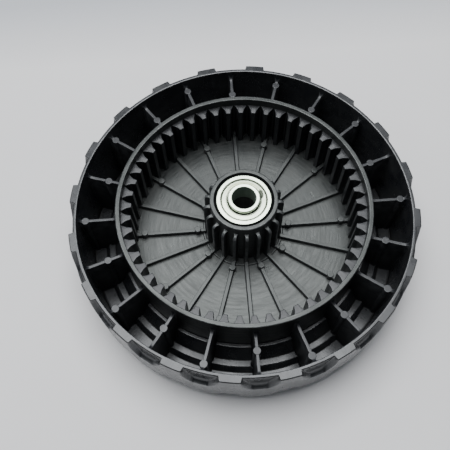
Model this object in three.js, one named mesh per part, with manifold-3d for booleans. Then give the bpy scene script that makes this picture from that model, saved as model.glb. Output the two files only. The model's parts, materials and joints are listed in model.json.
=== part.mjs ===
// Drive wheel of a walk-behind mower, lying on its outer face with the gear side up.
// Millimetres, +Z along the wheel axis towards the gear side, origin on the axis at the outer face.
import * as THREE from 'three';
import { ConvexGeometry } from 'three/addons/geometries/ConvexGeometry.js';
import { mergeVertices } from 'three/addons/utils/BufferGeometryUtils.js';
import Module from 'manifold-3d';

// ---- pattern -------------------------------------------------------------------------------
const webCount = 20;             // pocket webs, disc ribs, hub fins and tread lugs share this pitch
const toothCount = 53;
const firstWebAngle = Math.PI / 2;
const wheelSegments = 60;        // flats of a full circle on the wheel
const bearingSegments = 30;      // flats of a full circle on the bearings and the spacer
const bossSegments = 6;

// ---- tread and rim -------------------------------------------------------------------------
const treadRadius = 112.2;       // along the tread's even band
const crownDrop = 0.6;           // tread radius lost at the gear side edge
const footInset = 6.2;           // tread radius lost at the outer face
const treadWidth = 51;           // outer face to the gear side edge, which is the rim top
const bandLow = 15;              // the even band starts at this height
const bandStop = 7;              // and ends this far below the rim top
const lugHeight = 3.5;           // from a scoop's floor to the even band
const rimWall = 2.2;             // wall left between two lugs, at the rim top
const rimDraft = 2.4;            // how far the inner wall closes in towards the floor
const lugBaseWidth = 13.4;       // at the tread edge, on the scoop floor
const lugTipWidth = 11.9;        // at the tread edge, on the tread surface
const scoopDepth = 14.8;         // along the axis, from the gear side edge to the end of a scoop
const footScoopDepth = 20;       // the same at the outer face
const scoopEndWidth = 10;
const scoopFloorTaper = 0.9;     // floor's end width as a share of the width at the tread
const scoopRamp = 3.5;           // length of the slope that ends a scoop

// ---- pockets -------------------------------------------------------------------------------
const floorPlate = 3;
const ledgeHeight = 7.9;         // top of the middle ledge
const ledgeReach = 7.5;          // middle ledge's inner edge beyond the gear wall
const ledgeWidth = 4.4;
const ledgeFall = 2.5;           // width of the slope from the middle ledge to the lowest floor
const innerLedgeHeight = 18.6;   // flat kept beside the gear wall before the floor falls away
const innerLedgeWidth = 2.2;
const floorSkew = 1.6;           // how far in the outer side's steps lie from the inner side's
const webThickness = 2;
const webDrop = 6.4;             // web top below the rim top
const webFillet = 3;             // rise of a web's ends against the walls
const webBossRadius = 2.4;
const webBossOnLedge = 3.1;      // inner bosses' middles beyond the ledge's inner edge
const webBossFromRim = 4.5;      // outer bosses' middles inside the rim

// ---- internal ring gear --------------------------------------------------------------------
const gearModule = 25.4 / 9;     // nine teeth per inch of pitch diameter
const addendum = gearModule;
const dedendum = 1.25 * gearModule;
const gearWall = 2.8;
const gearWallRise = 5;          // gear wall top above the rim top
const toothTopDrop = 6.1;        // tooth tops below the gear wall top
const toothTipWidth = 2.9;
const toothRootGap = 0.8;        // width of a tooth gap at its bottom

// ---- disc, ribs and their bosses -----------------------------------------------------------
const discHeight = 15;           // top of the disc
const ribThickness = 2;
const ribHeight = 3.6;
const ribBossRadius = 2.1;
const ribBossHeight = 5.4;
const ribBossFromHub = 9.4;      // inner bosses' middles beyond the hub tube
const ribBossFromTeeth = 4.9;    // outer bosses' middles inside the tooth tips

// ---- hub -----------------------------------------------------------------------------------
const hubWall = 4;               // hub tube around the bearings
const hubRise = 3.8;             // hub top above the gear wall top
const hubFoot = 4;               // hub's outer end above the outer face
const finReach = 4.2;            // fin beyond the hub tube
const finThickness = 2;
const finDrop = 6.5;             // fin top below the hub top
const finShoulder = 2.8;         // rounding of the fin's top corner
const seatShoulder = 3.5;        // step each bearing rests on, between the two seats
const mouthWidth = 0.9;          // lead-in around the mouth of each seat
const mouthDepth = 1.6;

// ---- bearings: 15 x 35 x 11 with one end of the inner race extended -------------------------
const bearingBore = 15;
const bearingDiameter = 35;
const bearingWidth = 11;
const bearingInset = 0.5;        // outer race face below the hub's end
const ballCount = 8;
const ballDiameter = 5.953;
const ballPitchShift = 0.1;      // ball circle outside the middle between bore and outside
const innerLandGap = 2.6;        // ball circle to the inner race's land
const outerLandGap = 1.8;        // ball circle to the outer race's land
const innerRaceProud = 2.4;
const shieldThickness = 0.6;
const shieldInset = 0.35;
const shieldSeatStep = 0.2;      // shield's edge beyond the outer race's land
const shieldLipGap = 0.3;
const cageWidth = 2.2;           // across the sheet, centred on the ball circle
const cageSheet = 0.6;
const cageSplit = 0.2;           // half the gap between the two cage halves
const grooveSteps = 3;

// ---- spacer --------------------------------------------------------------------------------
const spacerPlay = 0.4;          // spacer's bore over the bearings' bore

// ---- clearances ----------------------------------------------------------------------------
const seatClearance = 0.15;      // bearing in its seat, spacer between the inner races
const ballClearance = 0.25;      // ball to race groove
const cageClearance = 0.32;      // ball to cage pocket
const cutOver = 3;               // how far a cutting shape runs past what it cuts
const rootOverlap = 0.8;         // how far a rib, web or tooth ring is sunk into its wall

// ---- worked out from the above -------------------------------------------------------------
const pitchAngle = 2 * Math.PI / webCount;
const rimTop = treadWidth;
const bandHigh = rimTop - bandStop;
const treadTopRadius = treadRadius - crownDrop;
const treadFootRadius = treadRadius - footInset;
const scoopFloorRadius = treadRadius - lugHeight;
const rimInnerRadius = scoopFloorRadius - rimWall;
const rimFootRadius = rimInnerRadius - rimDraft;
const gearWallTop = rimTop + gearWallRise;
const toothTop = gearWallTop - toothTopDrop;
const webTop = rimTop - webDrop;
const hubTop = gearWallTop + hubRise;
const gearPitchRadius = toothCount * gearModule / 2;
const toothTipRadius = gearPitchRadius - addendum;
const toothRootRadius = gearPitchRadius + dedendum;
const gearWallRadius = toothRootRadius + gearWall;
const ledgeInnerRadius = gearWallRadius + ledgeReach;
const ledgeOuterRadius = ledgeInnerRadius + ledgeWidth;
const outerFloorRadius = ledgeOuterRadius + ledgeFall;
const webBossInnerCircle = ledgeInnerRadius + webBossOnLedge;
const webBossOuterCircle = rimInnerRadius - webBossFromRim;
const ribBossOuterCircle = toothTipRadius - ribBossFromTeeth;
const ballRadius = ballDiameter / 2;
const bearingRadius = bearingDiameter / 2;
const seatRadius = bearingRadius + seatClearance;
const ballPitchRadius = (bearingBore + bearingDiameter) / 4 + ballPitchShift;
const innerRaceRadius = ballPitchRadius - innerLandGap;
const outerRaceLand = ballPitchRadius + outerLandGap;
const shieldSeatRadius = outerRaceLand + shieldSeatStep;
const cageInnerRadius = ballPitchRadius - cageWidth / 2;
const cageOuterRadius = ballPitchRadius + cageWidth / 2;
const hubRadius = bearingRadius + hubWall;
const hubBoreRadius = bearingRadius - seatShoulder;
const ribBossInnerCircle = hubRadius + ribBossFromHub;
const spacerRadius = innerRaceRadius;
const spacerBore = bearingBore + spacerPlay;
const upperSeatFloor = hubTop - bearingInset - bearingWidth;
const lowerSeatFloor = hubFoot + bearingInset + bearingWidth;

const wasm = await Module();
wasm.setup();

// A three.js geometry as a solid that can be joined and cut.
function toSolid(geometry) {
  let plain = geometry.index ? geometry.toNonIndexed() : geometry.clone();
  plain.deleteAttribute('normal');
  plain.deleteAttribute('uv');
  plain = mergeVertices(plain, 1e-5);
  const mesh = new wasm.Mesh({
    numProp: 3,
    vertProperties: Float32Array.from(plain.attributes.position.array),
    triVerts: Uint32Array.from(plain.index.array),
  });
  mesh.merge();
  return new wasm.Manifold(mesh);
}

function toGeometry(solid) {
  const mesh = solid.getMesh();
  const geometry = new THREE.BufferGeometry();
  geometry.setAttribute('position', new THREE.BufferAttribute(Float32Array.from(mesh.vertProperties), 3));
  geometry.setIndex(new THREE.BufferAttribute(Uint32Array.from(mesh.triVerts), 1));
  geometry.computeVertexNormals();
  return geometry;
}

// A closed outline of [radius, height] points turned around Z; a counter-clockwise outline faces out.
function turned(outline, segments) {
  const points = outline.map(([radius, height]) => new THREE.Vector2(radius, height));
  points.push(points[0].clone());
  const geometry = new THREE.LatheGeometry(points, segments);
  geometry.rotateX(Math.PI / 2);
  return geometry;
}

// An outline of [x, y] points raised from one height to another.
function raised(outline, low, high, hole) {
  const shape = new THREE.Shape(outline.map(([x, y]) => new THREE.Vector2(x, y)));
  if (hole) shape.holes.push(new THREE.Path(hole.map(([x, y]) => new THREE.Vector2(x, y))));
  const geometry = new THREE.ExtrudeGeometry(shape, { depth: high - low, bevelEnabled: false });
  geometry.translate(0, 0, low);
  return geometry;
}

// A radial plate: an outline of [radius, height] points, given a thickness across the radius.
function radialPlate(outline, thickness) {
  const shape = new THREE.Shape(outline.map(([radius, height]) => new THREE.Vector2(radius, height)));
  const geometry = new THREE.ExtrudeGeometry(shape, { depth: thickness, bevelEnabled: false });
  geometry.translate(0, 0, -thickness / 2);
  geometry.rotateX(Math.PI / 2);
  return geometry;
}

function post(radius, low, high, distance) {
  const geometry = new THREE.CylinderGeometry(radius, radius, high - low, bossSegments);
  geometry.rotateX(Math.PI / 2);
  geometry.translate(distance, 0, (low + high) / 2);
  return geometry;
}

function circlePoints(radius, count, start = 0) {
  const points = [];
  for (let i = 0; i < count; i += 1) {
    const angle = start + 2 * Math.PI * i / count;
    points.push([radius * Math.cos(angle), radius * Math.sin(angle)]);
  }
  return points;
}

// The same geometry at each web angle; pick chooses which of the twenty places it takes.
function around(geometry, { shift = 0, pick = () => true } = {}) {
  const solids = [];
  for (let i = 0; i < webCount; i += 1) {
    if (!pick(i)) continue;
    const copy = geometry.clone();
    copy.rotateZ(firstWebAngle + (i + shift) * pitchAngle);
    solids.push(toSolid(copy));
  }
  return solids;
}

const even = (i) => i % 2 === 0;
const odd = (i) => i % 2 === 1;

// ---- wheel body ----------------------------------------------------------------------------

// Rim, stepped pocket floor, gear wall, disc and hub tube as one turned outline.
function wheelShell() {
  const shoulder = [];
  const shoulderSteps = 3;
  for (let i = 1; i < shoulderSteps; i += 1) {
    const turn = i / shoulderSteps * Math.PI / 2;
    shoulder.push([
      treadFootRadius + (treadRadius - treadFootRadius) * Math.sin(turn),
      bandLow * (1 - Math.cos(turn)),
    ]);
  }
  const outline = [
    [hubBoreRadius, lowerSeatFloor],
    [seatRadius, lowerSeatFloor],
    [seatRadius, hubFoot + mouthDepth],
    [seatRadius + mouthWidth, hubFoot],
    [hubRadius, hubFoot],
    [hubRadius, discHeight - floorPlate],
    [gearWallRadius - floorSkew, discHeight - floorPlate],
    [ledgeInnerRadius - floorSkew, ledgeHeight - floorPlate],
    [ledgeOuterRadius - floorSkew, ledgeHeight - floorPlate],
    [outerFloorRadius - floorSkew, 0],
    [treadFootRadius, 0],
    ...shoulder,
    [treadRadius, bandLow],
    [treadRadius, bandHigh],
    [treadTopRadius, rimTop],
    [rimInnerRadius, rimTop],
    [rimFootRadius, floorPlate],
    [outerFloorRadius, floorPlate],
    [ledgeOuterRadius, ledgeHeight],
    [ledgeInnerRadius, ledgeHeight],
    [gearWallRadius + innerLedgeWidth, innerLedgeHeight],
    [gearWallRadius, innerLedgeHeight],
    [gearWallRadius, gearWallTop],
    [toothRootRadius, gearWallTop],
    [toothRootRadius, discHeight],
    [hubRadius, discHeight],
    [hubRadius, hubTop],
    [seatRadius + mouthWidth, hubTop],
    [seatRadius, hubTop - mouthDepth],
    [seatRadius, upperSeatFloor],
    [hubBoreRadius, upperSeatFloor],
  ];
  return toSolid(turned(outline, wheelSegments));
}

// The tooth ring: straight-flanked teeth that point inwards, a gap in line with the first web.
function toothRing() {
  const toothPitch = 2 * Math.PI / toothCount;
  const tipHalf = toothTipWidth / 2 / toothTipRadius;
  const rootHalf = toothPitch / 2 - toothRootGap / 2 / toothRootRadius;
  const inner = [];
  for (let i = 0; i < toothCount; i += 1) {
    const middle = firstWebAngle + (i + 0.5) * toothPitch;
    const corners = [[-rootHalf, toothRootRadius], [-tipHalf, toothTipRadius],
      [tipHalf, toothTipRadius], [rootHalf, toothRootRadius]];
    for (const [turn, radius] of corners) {
      inner.push([radius * Math.cos(middle + turn), radius * Math.sin(middle + turn)]);
    }
  }
  const outer = circlePoints(toothRootRadius + gearWall / 2, wheelSegments);
  return toSolid(raised(outer, discHeight - rootOverlap, toothTop, inner));
}

function pocketWebs() {
  const sunk = floorPlate / 2;
  const back = floorSkew / 2;
  const bottom = floorPlate - sunk;
  const inner = gearWallRadius - rootOverlap;
  const outer = rimFootRadius + rootOverlap;
  const rimAtTop = rimFootRadius + rimDraft * webTop / rimTop;
  const plate = radialPlate([
    [inner, discHeight - sunk],
    [gearWallRadius, discHeight - sunk],
    [ledgeInnerRadius - back, ledgeHeight - sunk],
    [ledgeOuterRadius - back, ledgeHeight - sunk],
    [outerFloorRadius - back, bottom],
    [outer, bottom],
    [rimAtTop + rootOverlap, webTop + webFillet],
    [rimAtTop, webTop + webFillet],
    [rimAtTop - webFillet, webTop],
    [gearWallRadius + webFillet, webTop],
    [gearWallRadius, webTop + webFillet],
    [inner, webTop + webFillet],
  ], webThickness);
  return [
    ...around(plate),
    ...around(post(webBossRadius, ledgeHeight - rootOverlap, webTop, webBossInnerCircle), { pick: even }),
    ...around(post(webBossRadius, bottom, webTop, webBossOuterCircle), { pick: odd }),
  ];
}

function discRibs() {
  const bottom = discHeight - rootOverlap;
  const top = discHeight + ribHeight;
  const bossTop = discHeight + ribBossHeight;
  const rib = radialPlate([
    [hubRadius - rootOverlap, bottom],
    [toothRootRadius + rootOverlap, bottom],
    [toothRootRadius + rootOverlap, top],
    [hubRadius - rootOverlap, top],
  ], ribThickness);
  return [
    ...around(rib),
    ...around(post(ribBossRadius, bottom, bossTop, ribBossInnerCircle), { pick: odd }),
    ...around(post(ribBossRadius, bottom, bossTop, ribBossOuterCircle), { pick: odd }),
  ];
}

function hubFins() {
  const outer = hubRadius + finReach;
  const top = hubTop - finDrop;
  const corner = finShoulder * (1 - Math.SQRT1_2);
  const fin = radialPlate([
    [hubRadius - rootOverlap, discHeight - rootOverlap],
    [outer, discHeight - rootOverlap],
    [outer, top - finShoulder],
    [outer - corner, top - corner],
    [outer - finShoulder, top],
    [hubRadius - rootOverlap, top],
  ], finThickness);
  return around(fin);
}

// The cutting shape of one scoop between two lugs, on the +X side. It opens at the tread edge
// towards the side that direction gives, 1 for +Z and -1 for -Z. Its half widths at the tread edge
// are carried on in a straight line to where the cutting shape ends.
function scoopCutter(edge, direction, depth, floorAtEdge) {
  const endHalf = scoopEndWidth / 2;
  const floorEndHalf = endHalf * scoopFloorTaper;
  const straight = depth - scoopRamp;
  const floorHalf = (scoopFloorRadius * pitchAngle - lugBaseWidth) / 2;
  const mouthHalf = (treadTopRadius * pitchAngle - lugTipWidth) / 2;
  const spread = (mouthHalf - floorHalf) / (treadTopRadius - scoopFloorRadius);
  const beyond = treadRadius + cutOver;
  const beyondHalf = mouthHalf + spread * (beyond - treadTopRadius);
  const floorAbove = floorHalf + (floorHalf - floorEndHalf) * cutOver / straight;
  const beyondAbove = beyondHalf + (beyondHalf - endHalf) * cutOver / depth;
  const above = edge + direction * cutOver;
  const corners = [];
  for (const side of [-1, 1]) {
    corners.push(new THREE.Vector3(floorAtEdge, side * floorAbove, above));
    corners.push(new THREE.Vector3(beyond, side * beyondAbove, above));
    corners.push(new THREE.Vector3(scoopFloorRadius, side * floorEndHalf, edge - direction * straight));
    corners.push(new THREE.Vector3(treadRadius, side * endHalf, edge - direction * depth));
    corners.push(new THREE.Vector3(beyond, side * endHalf, edge - direction * depth));
  }
  return new ConvexGeometry(corners);
}

function buildWheelBody() {
  const joined = wasm.Manifold.union(
    [wheelShell(), toothRing(), ...pocketWebs(), ...discRibs(), ...hubFins()]);
  const scoops = [
    ...around(scoopCutter(rimTop, 1, scoopDepth, scoopFloorRadius)),
    ...around(scoopCutter(0, -1, footScoopDepth, treadFootRadius), { shift: 0.5 }),
  ];
  return toGeometry(joined.subtract(wasm.Manifold.union(scoops)));
}

// ---- bearings ------------------------------------------------------------------------------
// Each bearing is drawn about its own middle plane, with its extended end towards +Z.

const half = bearingWidth / 2;

// The groove in a race as an arc of [radius, height] points around the ball's middle, cut from
// a land of the given radius.
function grooveArc(landRadius) {
  const reach = ballRadius + ballClearance;
  const side = Math.sign(landRadius - ballPitchRadius);
  const widest = Math.acos(Math.abs(landRadius - ballPitchRadius) / reach);
  const points = [];
  for (let i = 0; i <= grooveSteps; i += 1) {
    const turn = widest * (2 * i / grooveSteps - 1);
    points.push([ballPitchRadius + side * reach * Math.cos(turn), reach * Math.sin(turn)]);
  }
  return points;
}

function outerRace() {
  const shieldBack = half - shieldInset - shieldThickness - seatClearance;
  return turned([
    [bearingRadius, -half],
    [bearingRadius, half],
    [shieldSeatRadius + seatClearance, half],
    [shieldSeatRadius + seatClearance, shieldBack],
    [outerRaceLand, shieldBack],
    ...grooveArc(outerRaceLand).reverse(),
    [outerRaceLand, -shieldBack],
    [shieldSeatRadius + seatClearance, -shieldBack],
    [shieldSeatRadius + seatClearance, -half],
  ], bearingSegments);
}

function innerRace() {
  return turned([
    [bearingBore / 2, half + innerRaceProud],
    [bearingBore / 2, -half],
    [innerRaceRadius, -half],
    ...grooveArc(innerRaceRadius),
    [innerRaceRadius, half + innerRaceProud],
  ], bearingSegments);
}

function shield() {
  return turned([
    [innerRaceRadius + shieldLipGap, half - shieldInset - shieldThickness],
    [shieldSeatRadius, half - shieldInset - shieldThickness],
    [shieldSeatRadius, half - shieldInset],
    [innerRaceRadius + shieldLipGap, half - shieldInset],
  ], bearingSegments);
}

// One pressed half of the ribbon cage: flat between the balls, arched over each ball.
function cageHalf() {
  const pocket = ballRadius + cageClearance;
  const arch = (reach, floor, s) => Math.max(floor, Math.sqrt(Math.max(0, reach * reach - s * s)));
  const reachMid = pocket + cageSheet;
  const steps = [-reachMid, -pocket * 0.72, 0, pocket * 0.72, reachMid];
  const positions = [];
  const stations = [];
  for (let ball = 0; ball < ballCount; ball += 1) {
    for (const s of steps) {
      stations.push({
        angle: 2 * Math.PI * ball / ballCount + s / ballPitchRadius,
        low: arch(pocket, cageSplit, s),
        high: arch(reachMid, cageSplit + cageSheet, s),
      });
    }
  }
  const corner = ({ angle, low, high }) => [
    [cageInnerRadius, low], [cageOuterRadius, low], [cageOuterRadius, high], [cageInnerRadius, high],
  ].map(([radius, height]) => [radius * Math.cos(angle), radius * Math.sin(angle), height]);
  for (let i = 0; i < stations.length; i += 1) {
    const here = corner(stations[i]);
    const next = corner(stations[(i + 1) % stations.length]);
    for (let side = 0; side < 4; side += 1) {
      const other = (side + 1) % 4;
      positions.push(...here[side], ...next[side], ...next[other]);
      positions.push(...here[side], ...next[other], ...here[other]);
    }
  }
  const geometry = new THREE.BufferGeometry();
  geometry.setAttribute('position', new THREE.Float32BufferAttribute(positions, 3));
  const closed = mergeVertices(geometry, 1e-5);
  closed.computeVertexNormals();
  return closed;
}

// ---- materials -----------------------------------------------------------------------------

function finish(color, roughness, metalness) {
  return new THREE.MeshStandardMaterial({ color, roughness, metalness });
}

const blackPlastic = () => finish(0x2b2d30, 0.5, 0);
const polishedSteel = () => finish(0xc9ccc8, 0.22, 1);
const pressedSteel = () => finish(0xb9bcb6, 0.35, 1);
const plainSteel = () => finish(0x8d9093, 0.45, 1);

// ---- assembly ------------------------------------------------------------------------------

const wheel = new THREE.Group();

function place(parent, name, geometry, material) {
  const mesh = new THREE.Mesh(geometry, material);
  mesh.name = name;
  parent.add(mesh);
  return mesh;
}

function addBearing(prefix, middle, flip) {
  const bearing = new THREE.Group();
  bearing.position.z = middle;
  if (flip) bearing.rotation.x = Math.PI;
  wheel.add(bearing);
  place(bearing, `${prefix}_outer_race`, outerRace(), polishedSteel());
  place(bearing, `${prefix}_inner_race`, innerRace(), polishedSteel());
  place(bearing, `${prefix}_outward_shield`, shield(), pressedSteel());
  const inward = place(bearing, `${prefix}_inward_shield`, shield(), pressedSteel());
  inward.rotation.x = Math.PI;
  place(bearing, `${prefix}_cage_outward_half`, cageHalf(), pressedSteel());
  const backHalf = place(bearing, `${prefix}_cage_inward_half`, cageHalf(), pressedSteel());
  backHalf.rotation.x = Math.PI;
  for (let i = 0; i < ballCount; i += 1) {
    const angle = 2 * Math.PI * i / ballCount;
    const ball = place(bearing, `${prefix}_ball_${i + 1}`,
      new THREE.SphereGeometry(ballRadius, 8, 5), polishedSteel());
    ball.position.set(ballPitchRadius * Math.cos(angle), ballPitchRadius * Math.sin(angle), 0);
  }
}

function spacerTube() {
  const low = lowerSeatFloor + seatClearance;
  const high = upperSeatFloor - seatClearance;
  return turned([
    [spacerBore / 2, low],
    [spacerRadius, low],
    [spacerRadius, high],
    [spacerBore / 2, high],
  ], bearingSegments);
}

place(wheel, 'wheel_body', buildWheelBody(), blackPlastic());
place(wheel, 'bearing_spacer', spacerTube(), plainSteel());
addBearing('gear_side', upperSeatFloor + half, false);
addBearing('outer_side', lowerSeatFloor - half, true);

export default wheel;
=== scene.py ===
import json

import bpy
import numpy as np
from mathutils import Matrix, Vector

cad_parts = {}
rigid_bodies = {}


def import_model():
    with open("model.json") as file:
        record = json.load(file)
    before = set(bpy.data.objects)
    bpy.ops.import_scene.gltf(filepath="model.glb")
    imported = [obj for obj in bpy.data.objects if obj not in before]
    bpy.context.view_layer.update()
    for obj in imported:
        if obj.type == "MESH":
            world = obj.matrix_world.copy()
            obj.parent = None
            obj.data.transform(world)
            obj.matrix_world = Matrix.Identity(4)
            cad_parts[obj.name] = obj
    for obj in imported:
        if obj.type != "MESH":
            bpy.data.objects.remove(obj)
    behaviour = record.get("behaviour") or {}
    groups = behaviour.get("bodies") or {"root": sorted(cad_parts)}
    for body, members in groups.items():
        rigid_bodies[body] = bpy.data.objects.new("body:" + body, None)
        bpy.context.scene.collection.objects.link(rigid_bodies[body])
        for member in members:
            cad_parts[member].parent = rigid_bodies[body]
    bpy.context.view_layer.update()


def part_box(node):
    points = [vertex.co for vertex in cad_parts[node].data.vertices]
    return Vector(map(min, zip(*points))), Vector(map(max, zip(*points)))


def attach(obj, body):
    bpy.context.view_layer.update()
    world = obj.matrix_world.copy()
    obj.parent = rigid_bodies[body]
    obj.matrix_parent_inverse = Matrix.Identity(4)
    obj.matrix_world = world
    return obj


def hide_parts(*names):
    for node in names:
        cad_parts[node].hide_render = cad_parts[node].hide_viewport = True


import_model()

# Lengths are in millimetres until putMesh scales them. The wheel lies on its outer face: the axis
# is Z, the gear side is up and the first pocket web points along +Y.
mm = 0.001
pitches = 20                     # webs, ribs, fins and lugs share this pitch
pitch = 2 * np.pi / pitches
firstWeb = np.pi / 2
everyWeb = np.arange(pitches)
crispAngle = 38.0                # degrees between two faces from which their edge stays crisp
bury = 0.8                       # how far a piece reaches into the plastic under it


def boxInMillimetres(node):
    # The two corners of a CAD node's box, metres divided by mm
    low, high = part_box(node)
    return np.array(low) / mm, np.array(high) / mm


wheelHigh = boxInMillimetres("wheel_body")[1]
treadRadius = wheelHigh[0]
hubTop = wheelHigh[2]


def turnAbout(points, angle):
    # x' = x cos a - y sin a and y' = x sin a + y cos a, for arrays of points and of angles
    x, y, z = points[..., 0], points[..., 1], points[..., 2]
    c, s = np.cos(angle), np.sin(angle)
    return np.stack([x * c - y * s, x * s + y * c, z + 0 * c], axis=-1)


def roundCorners(outline, steps=4, rest=0.25):
    # Each corner (radius, height, fillet) becomes an arc. Its ends lie fillet / tan(half the corner)
    # away and it turns about a centre on the bisector. One more point past each end keeps the flat
    # beside it flat when shaded. The third column out is +1 on outward arcs and -1 on inward ones.
    corner = np.asarray(outline, float)
    point = corner[:, :2]
    back = np.roll(point, 1, axis=0) - point
    ahead = np.roll(point, -1, axis=0) - point
    backLength = np.linalg.norm(back, axis=1, keepdims=True)
    aheadLength = np.linalg.norm(ahead, axis=1, keepdims=True)
    back, ahead = back / backLength, ahead / aheadLength
    half = np.arccos(np.clip((back * ahead).sum(1, keepdims=True), -0.9999, 0.9999)) / 2
    shorter = np.minimum(backLength, aheadLength)
    reach = np.minimum(corner[:, 2:3] / np.tan(half), 0.44 * shorter)
    fillet = reach * np.tan(half)
    bisector = back + ahead
    centre = point + bisector / np.linalg.norm(bisector, axis=1, keepdims=True) * fillet / np.sin(half)
    start = point + back * reach - centre
    end = point + ahead * reach - centre
    turn = (np.pi - 2 * half)[:, None]
    share = np.linspace(0, 1, steps + 1)[None, :, None]
    arc = np.sin((1 - share) * turn) * start[:, None] + np.sin(share * turn) * end[:, None]
    arc = centre[:, None] + arc / np.sin(turn)
    past = np.minimum(rest, 0.1 * shorter)
    loop = np.concatenate([(point + back * (reach + past))[:, None], arc,
                           (point + ahead * (reach + past))[:, None]], axis=1)
    cross = back[:, 0] * ahead[:, 1] - back[:, 1] * ahead[:, 0]
    area = (point[:, 0] * np.roll(point[:, 1], -1) - point[:, 1] * np.roll(point[:, 0], -1)).sum()
    outward = np.sign(-cross * np.sign(area))
    mask = np.zeros(loop.shape[:2])
    mask[:, 1:-1] = outward[:, None]
    return np.concatenate([loop, mask[..., None]], axis=2).reshape(-1, 3)


def turned(outline, columns, start=0.0):
    # Each outline point is carried round the axis: r cos a, r sin a, z
    angle = start + 2 * np.pi * np.arange(columns) / columns
    radius, height = outline[:, 0:1], outline[:, 1:2]
    points = np.stack([radius * np.cos(angle), radius * np.sin(angle), height + 0 * angle], axis=-1)
    return points[None], np.repeat(outline[None, :, 2:3], columns, axis=2)


def post(radius, low, high, edge, flare, x, steps=4, columns=28):
    # A round post on the X axis: out along the top, over its edge, down its side and out along the
    # flare at its foot, edge and flare being quarter circles (radius + flare (1 - cos t), low + flare
    # (1 - sin t)). The profile is turned about the post's own axis.
    turn = np.linspace(0, np.pi / 2, steps + 1)
    over = np.stack([radius - edge + edge * np.sin(turn), high - edge + edge * np.cos(turn),
                     0 * turn + 1], -1)
    foot = np.stack([radius + flare * (1 - np.cos(turn)), low + flare * (1 - np.sin(turn)),
                     0 * turn - 1], -1)
    ends = np.array([[radius - edge - 0.3, high, 0], [radius + flare, low - bury / 2, 0]])
    profile = np.concatenate([ends[:1], over, foot, ends[1:]])
    points, mask = turned(profile, columns)
    return points + np.array([x, 0, 0]), mask


def atWebs(points, mask, which=everyWeb):
    # The same points turned to each chosen web, first web + number times pitch, along the first axis
    angle = (firstWeb + which * pitch)[:, None, None]
    return turnAbout(points, angle), np.repeat(mask, len(which), axis=0)


def putMesh(name, points, mask, material, body, wrapRows=False, crisp=crispAngle):
    # Points are (copies, rows, columns, 3). Columns close on themselves; rows close on themselves or
    # end in caps, each a fan about the middle of the end row. Faces are turned round if the solid's
    # volume, the sum of centre . area / 3 over its faces, comes out negative.
    copies, rows, columns = points.shape[:3]
    flat = points.reshape(-1, 3)
    index = np.arange(copies * rows * columns).reshape(copies, rows, columns)
    under = np.roll(index, -1, axis=1)
    quads = np.stack([index, np.roll(index, -1, axis=2), np.roll(under, -1, axis=2), under], axis=-1)
    if not wrapRows:
        quads = quads[:, :-1]
    quads = quads.reshape(-1, 4)
    wearAndShadeMask = mask.reshape(-1)
    fans = np.zeros((0, 3), int)
    if not wrapRows:
        for loop in (index[:, 0], index[:, -1, ::-1]):
            middle = flat[loop].mean(axis=1)
            tip = len(flat) + np.arange(copies)[:, None] + 0 * loop
            fan = np.stack([tip, np.roll(loop, -1, axis=1), loop], -1)
            fans = np.concatenate([fans, fan.reshape(-1, 3)])
            flat = np.concatenate([flat, middle])
            wearAndShadeMask = np.concatenate([wearAndShadeMask, np.zeros(copies)])
    a, b, c, d = (flat[quads[:, i]] for i in range(4))
    volume = ((a + b + c + d) * np.cross(c - a, d - b)).sum() / 24
    if len(fans):
        a, b, c = (flat[fans[:, i]] for i in range(3))
        volume += (a * np.cross(b, c)).sum() / 6
    if volume < 0:
        quads, fans = quads[:, ::-1], fans[:, ::-1]
    mesh = bpy.data.meshes.new(name)
    mesh.from_pydata((flat * mm).tolist(), [], quads.tolist() + fans.tolist())
    mesh.validate()
    mesh.polygons.foreach_set("use_smooth", np.ones(len(mesh.polygons), bool))
    if crisp:
        mesh.set_sharp_from_angle(angle=np.radians(crisp))
    # edge marks outward roundings for rubbing; nook marks inward ones, which get painted shade and grime
    for title, values in (("edge", np.clip(wearAndShadeMask, 0, 1)), ("nook", np.clip(-wearAndShadeMask, 0, 1))):
        attribute = mesh.attributes.new(title, "FLOAT", "POINT")
        attribute.data.foreach_set("value", values.astype(np.float32))
    mesh.materials.append(material)
    mesh.update()
    piece = bpy.data.objects.new(name, mesh)
    bpy.context.scene.collection.objects.link(piece)
    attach(piece, body)
    return piece


def newGroup(name, inputs, outputs):
    # An empty node group with these inputs (title, kind, value) and outputs (title, kind)
    group = bpy.data.node_groups.new(name, "ShaderNodeTree")
    for title, kind, value in inputs:
        group.interface.new_socket(title, in_out="INPUT", socket_type=kind).default_value = value
    for title, kind in outputs:
        group.interface.new_socket(title, in_out="OUTPUT", socket_type=kind)
    return group, group.nodes.new("NodeGroupInput"), group.nodes.new("NodeGroupOutput")


def addNode(tree, kind, sockets=None, **settings):
    # A node with its settings, and its sockets either linked or set to a value
    node = tree.nodes.new(kind)
    for title, value in settings.items():
        setattr(node, title, value)
    for title, value in (sockets or {}).items():
        if isinstance(value, bpy.types.NodeSocket):
            tree.links.new(value, node.inputs[title])
        else:
            node.inputs[title].default_value = value
    return node


def fillGroup(tree, group, sockets):
    # The node group placed in a tree, with its inputs linked or set
    return addNode(tree, "ShaderNodeGroup", sockets, node_tree=group)


def calc(tree, operation, *values, clamp=False):
    # One Math node on up to three sockets or numbers
    node = addNode(tree, "ShaderNodeMath", {i: v for i, v in enumerate(values)}, operation=operation,
                   use_clamp=clamp)
    return node.outputs[0]


def plusShare(tree, value, mask, share, clamp=False):
    # value + mask * share
    return calc(tree, "ADD", value, calc(tree, "MULTIPLY", mask, share), clamp=clamp)


def remap(tree, value, fromLow, fromHigh, toLow=0.0, toHigh=1.0):
    # Straight line from (fromLow, toLow) to (fromHigh, toHigh), held at its ends
    sockets = {"Value": value, "From Min": fromLow, "From Max": fromHigh, "To Min": toLow, "To Max": toHigh}
    return addNode(tree, "ShaderNodeMapRange", sockets, clamp=True).outputs["Result"]


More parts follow.
